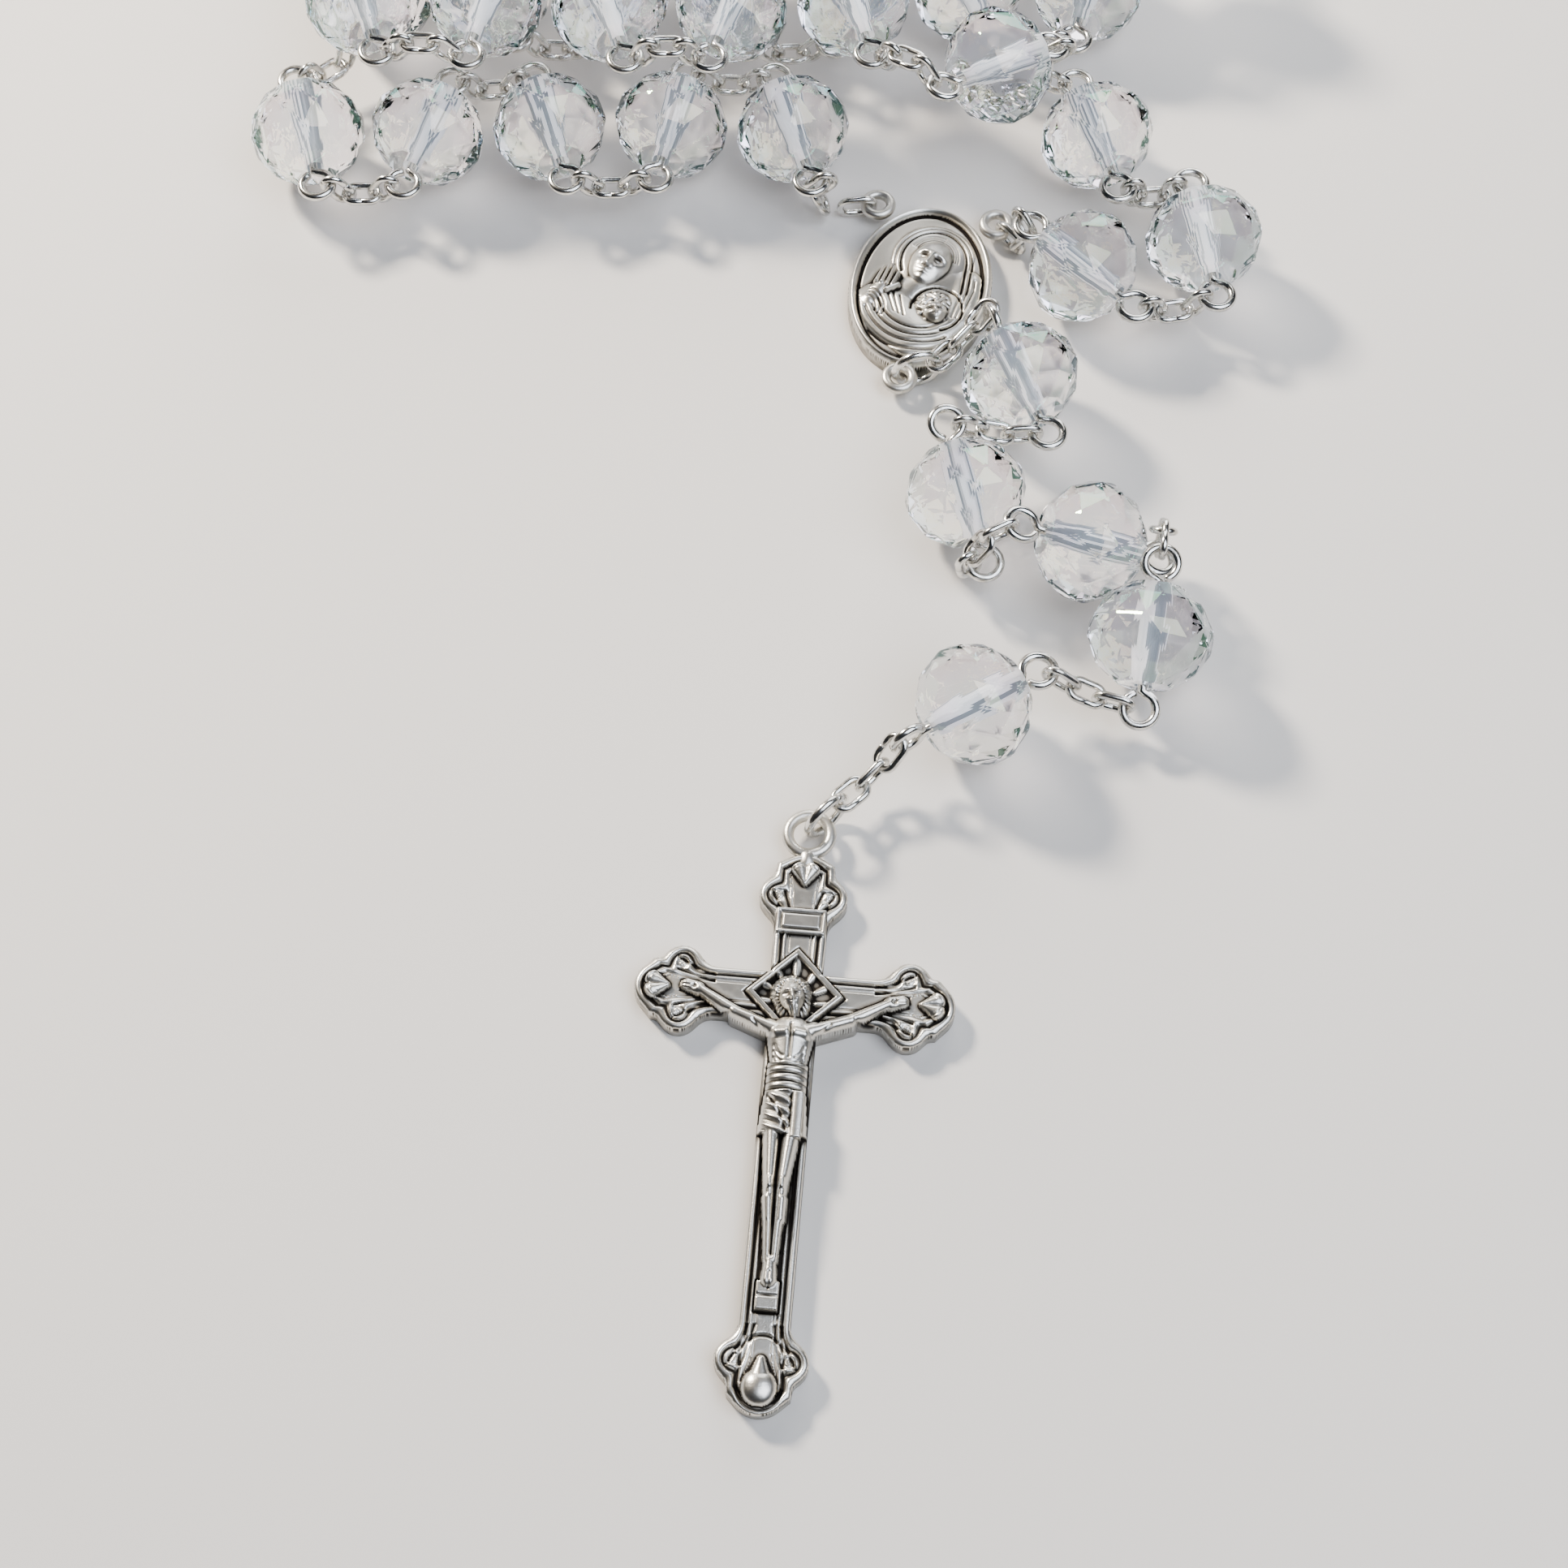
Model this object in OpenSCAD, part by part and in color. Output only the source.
// Rosary of faceted glass beads on eye pins and oval chain, laid down on a table.
// X runs to the right, Y away from the user and Z up; the table is at z = 0 and the
// origin is under the middle of the centrepiece. Lengths are millimetres.

/* [Beads] */
// Diameter of a bead across its middle
bead_d = 8; // [6:0.1:10]
// Length of a bead along its hole
bead_l = 6.5; // [5.5:0.1:7.5]
// Diameter of the hole through a bead
bead_bore = 1.2; // [1:0.1:1.6]
// Facets round a bead
bead_sides = 10; // [8:1:12]

/* [Eye pins] */
// Wire diameter of an eye pin
pin_wire = 0.6; // [0.5:0.05:0.7]
// Outer diameter of the round eye at each end of a pin
eye_d = 2.7; // [2.4:0.1:3.4]
// Gap between the end of a bead and the eye
eye_gap = 0.15; // [0.1:0.05:0.5]

/* [Chain] */
// Outer length of a chain link
link_l = 2.9; // [2.8:0.1:3.6]
// Outer width of a chain link
link_w = 1.85; // [1.85:0.05:2.2]
// Wire diameter of a chain link
link_wire = 0.5; // [0.4:0.05:0.5]
// Outer diameter of a jump ring
ring_d = 3.6; // [3.4:0.1:4.2]
// Wire diameter of a jump ring
ring_wire = 0.6; // [0.5:0.05:0.7]
// Air left between two wires that hang on each other
wire_clear = 0.04; // [0.03:0.01:0.06]

/* [Centrepiece] */
// Width of the oval casting
medal_w = 9.8; // [8:0.2:12]
// Height of the oval casting
medal_h = 13.6; // [11:0.2:17]
// Thickness of its plate
medal_t = 1.3; // [1:0.1:2]
// Height of the figures above the plate
medal_relief = 0.9; // [0.5:0.1:1.4]
// Outer diameter of its three loops
medal_eye_d = 2.5; // [2.4:0.1:2.8]
// Wire diameter of its three loops
medal_eye_wire = 0.7; // [0.6:0.05:0.8]
// Turn of the casting on the table
medal_turn = -12; // [-20:1:0]

/* [Crucifix] */
// Height of the cross without its loop
cross_h = 34.4; // [28:0.2:42]
// Width of the cross over its arms
cross_w = 19.6; // [16:0.2:24]
// Width of a bar of the cross
bar_w = 3.4; // [2.8:0.1:4.2]
// Thickness of the cross
cross_t = 1.6; // [1.2:0.1:2.2]
// Diameter of the lobes at the ends of the arms
lobe_d = 3.6; // [3:0.1:4.2]
// Outer diameter of its loop
cross_eye_d = 3.4; // [3.2:0.1:4]
// Wire diameter of its loop
cross_eye_wire = 0.75; // [0.6:0.05:0.9]
// Height of the figure above the cross
figure_relief = 1.3; // [0.8:0.1:1.8]

/* [Hidden] */

wire_fn = 24;
// Air at the one place where the closed loop of the circlet is left open
open_gap = 0.4;
round_fn = 48;
glass = "#dfe9ee";
bright_silver = "#d9dade";
old_silver = "#a9a9a6";

// Middle lines of the wires, from eye to eye and from end to end
eye_r = (eye_d - pin_wire) / 2;
eye_off = bead_l / 2 + eye_gap + eye_d / 2;
link_c = link_l - link_wire;
ring_r = (ring_d - ring_wire) / 2;
medal_eye_r = (medal_eye_d - medal_eye_wire) / 2;
cross_eye_r = (cross_eye_d - cross_eye_wire) / 2;
// A jump ring stands this steeply on the loops of the centrepiece and of the crucifix
medal_ring_rise = 66;
cross_ring_rise = 82;
// Distance between the middles of two wires that touch
link_link = link_wire + wire_clear;
link_pin = (link_wire + pin_wire) / 2 + wire_clear;
link_ring = (link_wire + ring_wire) / 2 + wire_clear;
ring_medal = (ring_wire + medal_eye_wire) / 2 + wire_clear;
link_medal = (link_wire + medal_eye_wire) / 2 + wire_clear;
ring_cross = (ring_wire + cross_eye_wire) / 2 + wire_clear;
// More air where a sloping link passes an upright wire
slant_air = 0.07;
// Eye to eye length of three links pulled straight between two flat eyes
taut = 2 * eye_r + 2 * (link_c - link_pin - link_link) + link_c;
// Three links pulled straight from an upright ring to an upright eye
taut_upright = 3 * link_c - 2 * link_link - link_ring - link_pin - 2 * slant_air;

bead_z = bead_d / 2;
medal_eye_z = 1.1;
cross_eye_z = 1.1;

// Vectors
function dir(a, e = 0) = [cos(a) * cos(e), sin(a) * cos(e), sin(e)];
function flat(v) = [v[0], v[1], 0];
function unit(v) = v / norm(v);
function bearing(v) = atan2(v[1], v[0]);

// A bead's place is [middle, heading of its pin, tilt of its pin]
function eye(b, s) = b[0] + s * eye_off * dir(b[1], b[2]);
// Point of a round eye's wire that lies in the upright plane of bearing g
function rim(c, h, e, r, g) = let (a = dir(h, e), b = dir(h + 90))
  c + r * unit(a * cos(h - g) - b * cos(e) * sin(h - g));

// Three links between points p and q in the upright plane of bearing g. Each of l is
// the length that a link adds, sag is 1 to hang and -1 to bow up. Gives their angles.
function hang(p, q, g, l, sag) = let (
    d = norm(q - p),
    chord = atan2(q[2] - p[2], (q - p) * dir(g)),
    sum = l[0] + l[2],
    odd = l[0] - l[2],
    k = sum * sum - odd * odd,
    c = (-sum * l[1] + sqrt(sum * sum * l[1] * l[1] - k * (l[1] * l[1] + odd * odd - d * d))) / k,
    a = sag * acos(c),
    base = chord - atan2(-odd * sin(a), sum * c + l[1]))
  [base - a, base, base + a];

// Links between two flat eyes: places [middle, bearing, rise, roll], then the links' ends
// first is [length, wire, seat, radius of the eye] for the first link; apart opens its far end
pin_first = [link_c, link_wire, link_pin, eye_r];
medal_first = [link_c, link_wire, link_medal, medal_eye_r];
function flat_gap(a, b, sag = 1, side = [1, -1], first = pin_first, apart = 0) = let (
    g = bearing(flat(b[0] - a[0])),
    p = rim(a[0], a[1], a[2], side[0] * first[3], g),
    q = rim(b[0], b[1], b[2], side[1] * eye_r, g),
    seat_2 = apart > 0 ? -link_link - apart : link_link,
    l = [first[0] - first[2] - seat_2, link_c, link_c - link_link - link_pin],
    t = hang(p, q, g, l, sag),
    m = p + l[0] * dir(g, t[0]),
    n = m + link_c * dir(g, t[1]))
  [[p + (first[0] / 2 - first[2]) * dir(g, t[0]), g, t[0], 90],
   [m + link_c / 2 * dir(g, t[1]), g, t[1], 0],
   [q + (link_pin - link_c / 2) * dir(g, t[2]), g, t[2], 90],
   [p, m, n, q]];

// Links between two upright wires at points a and b, seated seat_a and seat_b off them
function upright_gap(a, b, seat_a, seat_b, sag = 1) = let (
    g = bearing(flat(b - a)),
    w = unit(b - a),
    p = a - (seat_a + slant_air) * w,
    q = b + (seat_b + slant_air) * w,
    l = [link_c, link_c - 2 * link_link, link_c],
    t = hang(p, q, g, l, sag),
    m = p + link_c * dir(g, t[0]),
    n = m + l[1] * dir(g, t[1]))
  [[p + link_c / 2 * dir(g, t[0]), g, t[0], 0],
   [m + l[1] / 2 * dir(g, t[1]), g, t[1], 90],
   [q - link_c / 2 * dir(g, t[2]), g, t[2], 0],
   [p, m, n, q]];

// Centrepiece loops, on the turned oval
function on_medal(x, y) = [x * cos(medal_turn) - y * sin(medal_turn),
  x * sin(medal_turn) + y * cos(medal_turn), medal_eye_z];
top_eye_x = 0.43 * medal_w;
top_eye_y = 0.47 * medal_h;
left_eye = [on_medal(-top_eye_x, top_eye_y), 0, 0];
right_eye = [on_medal(top_eye_x, top_eye_y), 0, 0];
bottom_eye = [on_medal(0, -medal_h / 2 - medal_eye_r), 0, 0];

// The drop, walked from the centrepiece to the crucifix. Each bead of the walk is
// [bearing of the gap before it, its length as a share of the taut length, heading, tilt]
drop_ring_bearing = 12;
drop_ring_p = rim(bottom_eye[0], 0, 0, medal_eye_r, drop_ring_bearing);
drop_ring_at = drop_ring_p + (ring_r - ring_medal) * dir(drop_ring_bearing, medal_ring_rise);
drop_ring_end = drop_ring_at + ring_r * dir(drop_ring_bearing, 20);
// Gaps beside an upright eye: bearing, and the length as a share of the taut length
first_gap = [42, 0.985];
first_bead = [-70, 0];
walk = [[182, 0.95, -75, -18], [25, 0.35, -5, -18], [-98, 0.3, -100, -18], [163, 0.95, 210, 0]];
last_gap = [222, 0.93];

// Step in plan of a gap that also climbs by h
function plan(gap, h) = sqrt(pow(gap[1] * taut_upright, 2) - h * h) * dir(gap[0]);
first_seat = let (p = drop_ring_end + plan(first_gap, bead_z - drop_ring_end[2])) [p[0], p[1], bead_z];
first_eye = first_seat + eye_r * dir(first_bead[0]);
function step(b, w, z = bead_z) = step_from(flat(eye(b, 1)), w, z);
function step_from(p, w, z = bead_z) = let (
    c = p + w[1] * taut * dir(w[0]) + flat(eye_off * dir(w[2], w[3])))
  [[c[0], c[1], z], w[2], w[3]];
bead_a = [first_eye + eye_off * dir(first_bead[0]), first_bead[0], first_bead[1]];
bead_b = step(bead_a, walk[0]);
bead_c = step(bead_b, walk[1]);
bead_e = step(bead_c, walk[2]);
bead_f = step(bead_e, walk[3]);
drop = [bead_a, bead_b, bead_c, bead_e, bead_f];
function eye_in(b) = [eye(b, -1), b[1], b[2]];
function eye_out(b) = [eye(b, 1), b[1], b[2]];

last_seat = eye(bead_f, 1) + eye_r * dir(bead_f[1]);
cross_eye_seat_z = cross_eye_z + (ring_r - ring_cross) * sin(cross_ring_rise);
cross_ring_end_z = cross_eye_seat_z + ring_r * sin(20);
cross_ring_end = let (p = last_seat + plan(last_gap, bead_z - cross_ring_end_z)) [p[0], p[1], cross_ring_end_z];
cross_ring_at = cross_ring_end + ring_r * dir(last_gap[0], -20);
cross_ring_q = cross_ring_at + (ring_r - ring_cross) * dir(last_gap[0], -cross_ring_rise);
cross_heading = 265;
cross_eye_at = cross_ring_q + cross_eye_r * dir(last_gap[0]);

drop_gaps = [
  upright_gap(drop_ring_end, first_seat, link_ring, link_pin),
  flat_gap(eye_out(bead_a), eye_in(bead_b)),
  flat_gap(eye_out(bead_b), eye_in(bead_c), -1, [-1, -1]),
  flat_gap(eye_out(bead_c), eye_in(bead_e), -1, [-1, -1]),
  flat_gap(eye_out(bead_e), eye_in(bead_f)),
  upright_gap(last_seat, cross_ring_end, link_pin, link_ring)];

// The circlet lies in rows. Beads stand side by side with their pins across the row,
// leaning to and fro so that neighbouring eyes are a fraction of the taut length apart
row_x = bead_d + 0.5;
row_y = 2 * eye_off + eye_d + 0.3;
row_start_x = left_eye[0][0] - bead_d / 2 - 2;
row_start_y = left_eye[0][1] + bead_d / 2 + 0.3;
upper_z = bead_z + bead_d / 2 + pin_wire + 1;
function lean(i) = asin((row_x - (0.85 + 0.06 * sin(101 * i)) * taut) / (2 * eye_off));
// One row: place of bead i of n, step to the next one, and whether the first pin points away
function row(n, x, y, z, way, seed, away = true) = [for (i = [0:n - 1]) let (
    up = (i % 2 == 0) == away ? 1 : -1,
    j = i + seed)
  [[x + way * row_x * i, y + 0.35 * sin(77 * j), z], 90 * up + (up > 0 ? -1 : 1) * way * lean(j),
   0]];
left_beads = concat(
  row(5, row_start_x, row_start_y, bead_z, -1, 0),
  row(7, row_start_x - 3.5 * row_x, row_start_y + row_y, bead_z, 1, 5),
  row(7, row_start_x + 2 * row_x, row_start_y + 2 * row_y, bead_z, -1, 12),
  row(7, row_start_x - 3.5 * row_x, row_start_y + 3 * row_y, bead_z, 1, 19));
upper_x = row_start_x + row_x / 2;
upper_y = row_start_y + row_y / 2;
// The right strand leaves the centrepiece, swings out and climbs back to the upper row. It
// is walked from both ends, and the second bead joins them on the outside of the bend
upper_row = row(5, upper_x, upper_y, upper_z, -1, 30);
right_1 = step_from(flat(right_eye[0]), [-49, 0.455, -45, 0]);
right_4 = reversed(step(reversed(upper_row[0]), [326, 0.824, 35, -12], upper_z - 0.6));
right_3 = reversed(step(reversed(right_4), [3, 0.31, -75, 0]));
function bend(a, b, gap_a, gap_b) = let (
    p = flat(eye(a, 1)),
    way = flat(eye(b, -1)) - p,
    g = bearing(way),
    t = hang([0, 0, 0], [norm(way), 0, 0], 0, [gap_a * taut, 2 * eye_off, gap_b * taut], 1),
    c = p + gap_a * taut * dir(g + t[0]) + eye_off * dir(g + t[1]))
  [[c[0], c[1], bead_z], g + t[1], 0];
// The last four beads lie end to end along the far side, from the bead that comes down from
// the upper rows to the end of the left strand. Where that side is short they lean to and
// fro, and where it is long their gaps stretch
down = [[upper_x - 4 * row_x + 2.1, upper_y + 3 * row_y, bead_z + 0.97 * (taut - 2 * eye_r)], 90, 0];
far_from = eye(down, 1);
far_to = eye(left_beads[25], 1);
far_shares = [0.34, 0.56, -0.31];
far_even = (far_shares[0] + 3 * far_shares[1] + far_shares[2]) * taut;
far_rest = far_to[0] - far_from[0] - far_even;
far_lean = acos(min(1, far_rest / (8 * eye_off)));
far_gap = far_shares[1] + 0.19 * max(0, far_rest / taut - 8 * eye_off / taut);
far_1 = step_from([far_from[0], far_to[1] + 0.87 * taut, 0], [0, far_shares[0], far_lean, 0]);
far_2 = step(far_1, [0, far_gap, -far_lean, 0]);
far_3 = step(far_2, [0, far_gap, far_lean, 0]);
far_4 = step(far_3, [0, far_gap, -far_lean, 0]);
right_beads = concat(
  [right_1, bend(right_1, right_3, 0.8, 0.72), right_3, right_4],
  upper_row,
  row(7, upper_x - 3.5 * row_x, upper_y + row_y, upper_z, 1, 35),
  row(7, upper_x + 2 * row_x, upper_y + 2 * row_y, upper_z, -1, 42),
  [down, far_1, far_2, far_3, far_4]);

module wire_ring(r, w) rotate_extrude($fn = round_fn) translate([r, 0]) circle(d = w, $fn = wire_fn);

// Oval link, flat, long in X
module oval(l, w, t) {
  s = (l - w) / 2;
  for (k = [0, 1]) rotate([0, 0, 180 * k]) {
    translate([s, 0, 0]) rotate_extrude(angle = 180, start = -90, $fn = round_fn)
      translate([(w - t) / 2, 0]) circle(d = t, $fn = wire_fn);
    translate([-s, (w - t) / 2, 0]) rotate([0, 90, 0]) cylinder(d = t, h = 2 * s, $fn = wire_fn);
  }
}

module set(place) translate(place[0]) rotate([place[3], -place[2], place[1]]) children();
module link(place) color(bright_silver) set(place) oval(link_l, link_w, link_wire);
module ring(at, g) color(bright_silver) translate(at) rotate([90, 0, g]) wire_ring(ring_r, ring_wire);

// Eye pin of a bead; roll is the turn of its two eyes, 0 for flat and 90 for upright
module pin(b, roll_in = 0, roll_out = 0) color(bright_silver)
  translate(b[0]) rotate([0, -b[2], b[1]]) {
    rotate([0, 90, 0]) cylinder(d = pin_wire, h = 2 * (eye_off - eye_r), center = true, $fn = wire_fn);
    translate([-eye_off, 0, 0]) rotate([roll_in, 0, 0]) wire_ring(eye_r, pin_wire);
    translate([eye_off, 0, 0]) rotate([roll_out, 0, 0]) wire_ring(eye_r, pin_wire);
  }

// Rings of points and triangles for the facets of a bead
function round_points(r, z, turn) = [for (i = [0:bead_sides - 1])
  [r * cos((i + turn) * 360 / bead_sides), r * sin((i + turn) * 360 / bead_sides), z]];
function band(a, b, flip) = [for (i = [0:bead_sides - 1]) let (j = (i + 1) % bead_sides)
  each flip ? [[a + i, a + j, b + j], [a + i, b + j, b + i]] : [[a + i, a + j, b + i], [a + j, b + j, b + i]]];
module facets() {
  r = bead_d / 2;
  h = bead_l / 2;
  points = concat(round_points(0.42 * r, -h, 0), round_points(0.78 * r, -0.68 * h, 0.5),
    round_points(r, -0.2 * h, 0), round_points(r, 0.2 * h, 0.5), round_points(0.78 * r, 0.68 * h, 0),
    round_points(0.42 * r, h, 0.5));
  n = bead_sides;
  faces = concat([[for (i = [0:n - 1]) i]],
    [for (k = [0:4]) each band(k * n, (k + 1) * n, k % 2 == 1)],
    [[for (i = [n - 1:-1:0]) 5 * n + i]]);
  polyhedron(points, faces);
}
module bead(b) color(glass, 0.6) translate(b[0]) rotate([0, 90 - b[2], b[1]]) difference() {
  facets();
  cylinder(d = bead_bore, h = 2 * bead_l, center = true, $fn = wire_fn);
}

module medal_outline(grow) polygon([for (i = [0:39])
  [(medal_w / 2 + grow) * cos(9 * i), (medal_h / 2 + grow) * sin(9 * i)]]);
module medal_loop(x, y) translate([x, y, medal_eye_z]) wire_ring(medal_eye_r, medal_eye_wire);
module centrepiece() color(old_silver) rotate([0, 0, medal_turn]) {
  rim_w = 0.5;
  linear_extrude(medal_t) medal_outline(0);
  linear_extrude(medal_t + 0.3) difference() {
    medal_outline(0);
    medal_outline(-rim_w);
  }
  translate([0, 1.6, 0]) cylinder(d = 0.46 * medal_w, h = medal_t + 0.8 * medal_relief, $fn = round_fn);
  translate([1.9, -1.9, 0]) cylinder(d = 0.28 * medal_w, h = medal_t + medal_relief, $fn = round_fn);
  linear_extrude(medal_t + 0.5 * medal_relief) difference() {
    medal_outline(-1.2);
    translate([-medal_w, 0.5]) square([2 * medal_w, medal_h]);
  }
  for (k = [-1, 1]) medal_loop(k * top_eye_x, top_eye_y);
  medal_loop(0, -medal_h / 2 - medal_eye_r);
}

// Cross in its own frame: loop's middle at the origin, foot along +X, face up
cross_top = cross_eye_r + 0.2;
arms_x = cross_top + 0.27 * cross_h;
module lobes(at, turn) translate(at) rotate([0, 0, turn]) {
  cylinder(d = lobe_d, h = cross_t, $fn = round_fn);
  for (k = [-1, 1]) translate([-0.45 * lobe_d, k * 0.4 * lobe_d, 0])
    cylinder(d = 0.62 * lobe_d, h = cross_t, $fn = round_fn);
}
module crucifix() color(old_silver) translate(flat(cross_eye_at)) rotate([0, 0, cross_heading]) {
  translate([0, 0, cross_eye_z]) wire_ring(cross_eye_r, cross_eye_wire);
  translate([cross_top, -bar_w / 2, 0]) cube([cross_h - lobe_d / 2, bar_w, cross_t]);
  translate([arms_x - bar_w / 2, -cross_w / 2 + lobe_d / 2, 0]) cube([bar_w, cross_w - lobe_d, cross_t]);
  lobes([cross_top + lobe_d / 2, 0, 0], 180);
  lobes([cross_top + cross_h - lobe_d / 2, 0, 0], 0);
  for (k = [-1, 1]) lobes([arms_x, k * (cross_w - lobe_d) / 2, 0], 90 * k);
  translate([arms_x, 0, 0]) rotate([0, 0, 45]) translate([-2.7, -2.7, 0]) cube([5.4, 5.4, cross_t + 0.2]);
  // figure: head, arms, body and legs as plain bars
  translate([arms_x - 1.4, 0, 0]) cylinder(d = 2.2, h = cross_t + figure_relief, $fn = round_fn);
  translate([arms_x - 0.2, -1.3, 0]) cube([7.5, 2.6, cross_t + 0.7 * figure_relief]);
  translate([arms_x + 7, -0.8, 0]) cube([8.4, 1.6, cross_t + 0.6 * figure_relief]);
  for (k = [-1, 1]) translate([arms_x, k * 1.2, 0]) rotate([0, 0, k * 97])
    translate([0, -0.5, 0]) cube([5.2, 1, cross_t + 0.5 * figure_relief]);
}

// Left strand, walked back from its far end, which hangs on the end of the right strand
function reversed(b) = [b[0], b[1] + 180, -b[2]];
left_back = [for (i = [len(left_beads) - 1:-1:0]) reversed(left_beads[i])];
right_start = flat_gap(right_eye, eye_in(right_beads[0]), 1, [1, -1], medal_first);
left_start = flat_gap(left_eye, eye_in(left_beads[0]), 1, [1, -1], medal_first, open_gap);
closing_gap = flat_gap(eye_out(right_beads[len(right_beads) - 1]), eye_in(left_back[0]));

// Our Father beads among the two strands
right_fathers = [10, 21];
left_fathers = [4, 15];

// A strand's pieces: beads i to j, and the pins with the links that lead to each of them
function listed(k, list) = len([for (s = list) if (s == k) s]) > 0;
module strand_beads(b, i, j, fathers) for (k = [i:j]) if (!listed(k, fathers)) bead(b[k]);
module links(gap, from = 0) for (m = [from:2]) link(gap[m]);
// Links bow up between two beads that lie high on the others, and hang elsewhere
function between(a, b) = flat_gap(eye_out(a), eye_in(b), a[0][2] + b[0][2] > 2.15 * bead_d ? -1 : 1);
module strand_chain(b, i, j) for (k = [i:j]) {
  pin(b[k]);
  if (k > 0) links(between(b[k - 1], b[k]));
}
module drop_link(n) link(drop_gaps[floor((n - 1) / 3)][(n - 1) % 3]);
// Drop beads count from the crucifix up, and the walk comes down to it
module drop_pin(n) pin(drop[5 - n], n == 5 ? 90 : 0, n == 1 ? 90 : 0);

centrepiece();
crucifix();
ring(cross_ring_at, last_gap[0]);  // crucifix_ring
ring(drop_ring_at, drop_ring_bearing);  // drop_ring
link(left_start[0]);  // left_link
link(right_start[0]);  // right_link
drop_link(1);  // drop_link_1
drop_link(2);  // drop_link_2
drop_link(3);  // drop_link_3
drop_link(4);  // drop_link_4
drop_link(5);  // drop_link_5
drop_link(6);  // drop_link_6
drop_link(7);  // drop_link_7
drop_link(8);  // drop_link_8
drop_link(9);  // drop_link_9
drop_link(10);  // drop_link_10
drop_link(11);  // drop_link_11
drop_link(12);  // drop_link_12
drop_link(13);  // drop_link_13
drop_link(14);  // drop_link_14
drop_link(15);  // drop_link_15
drop_link(16);  // drop_link_16
drop_link(17);  // drop_link_17
drop_link(18);  // drop_link_18
drop_pin(1);  // drop_pin_1
drop_pin(2);  // drop_pin_2
drop_pin(3);  // drop_pin_3
drop_pin(4);  // drop_pin_4
drop_pin(5);  // drop_pin_5
bead(drop[4]);  // drop_bead_1
bead(drop[3]);  // drop_bead_2
bead(drop[2]);  // drop_bead_3
bead(drop[1]);  // drop_bead_4
bead(drop[0]);  // drop_bead_5
strand_beads(right_beads, 0, 3, right_fathers);  // right_beads_1
strand_beads(right_beads, 4, 8, right_fathers);  // right_beads_2
strand_beads(right_beads, 9, 15, right_fathers);  // right_beads_3
strand_beads(right_beads, 16, 22, right_fathers);  // right_beads_4
strand_beads(right_beads, 23, 27, right_fathers);  // right_beads_5
strand_beads(left_back, 21, 25, left_fathers);  // left_beads_1
strand_beads(left_back, 14, 20, left_fathers);  // left_beads_2
strand_beads(left_back, 7, 13, left_fathers);  // left_beads_3
strand_beads(left_back, 0, 6, left_fathers);  // left_beads_4
union() { strand_chain(right_beads, 0, 3); links(right_start, 1); }  // right_chain_1
strand_chain(right_beads, 4, 8);  // right_chain_2
strand_chain(right_beads, 9, 15);  // right_chain_3
strand_chain(right_beads, 16, 22);  // right_chain_4
strand_chain(right_beads, 23, 27);  // right_chain_5
union() { strand_chain(left_back, 21, 25); links(left_start, 1); }  // left_chain_1
strand_chain(left_back, 14, 20);  // left_chain_2
strand_chain(left_back, 7, 13);  // left_chain_3
union() { strand_chain(left_back, 0, 6); links(closing_gap); }  // left_chain_4
bead(right_beads[right_fathers[0]]);  // father_bead_1
bead(right_beads[right_fathers[1]]);  // father_bead_2
bead(left_back[left_fathers[0]]);  // father_bead_3
bead(left_back[left_fathers[1]]);  // father_bead_4
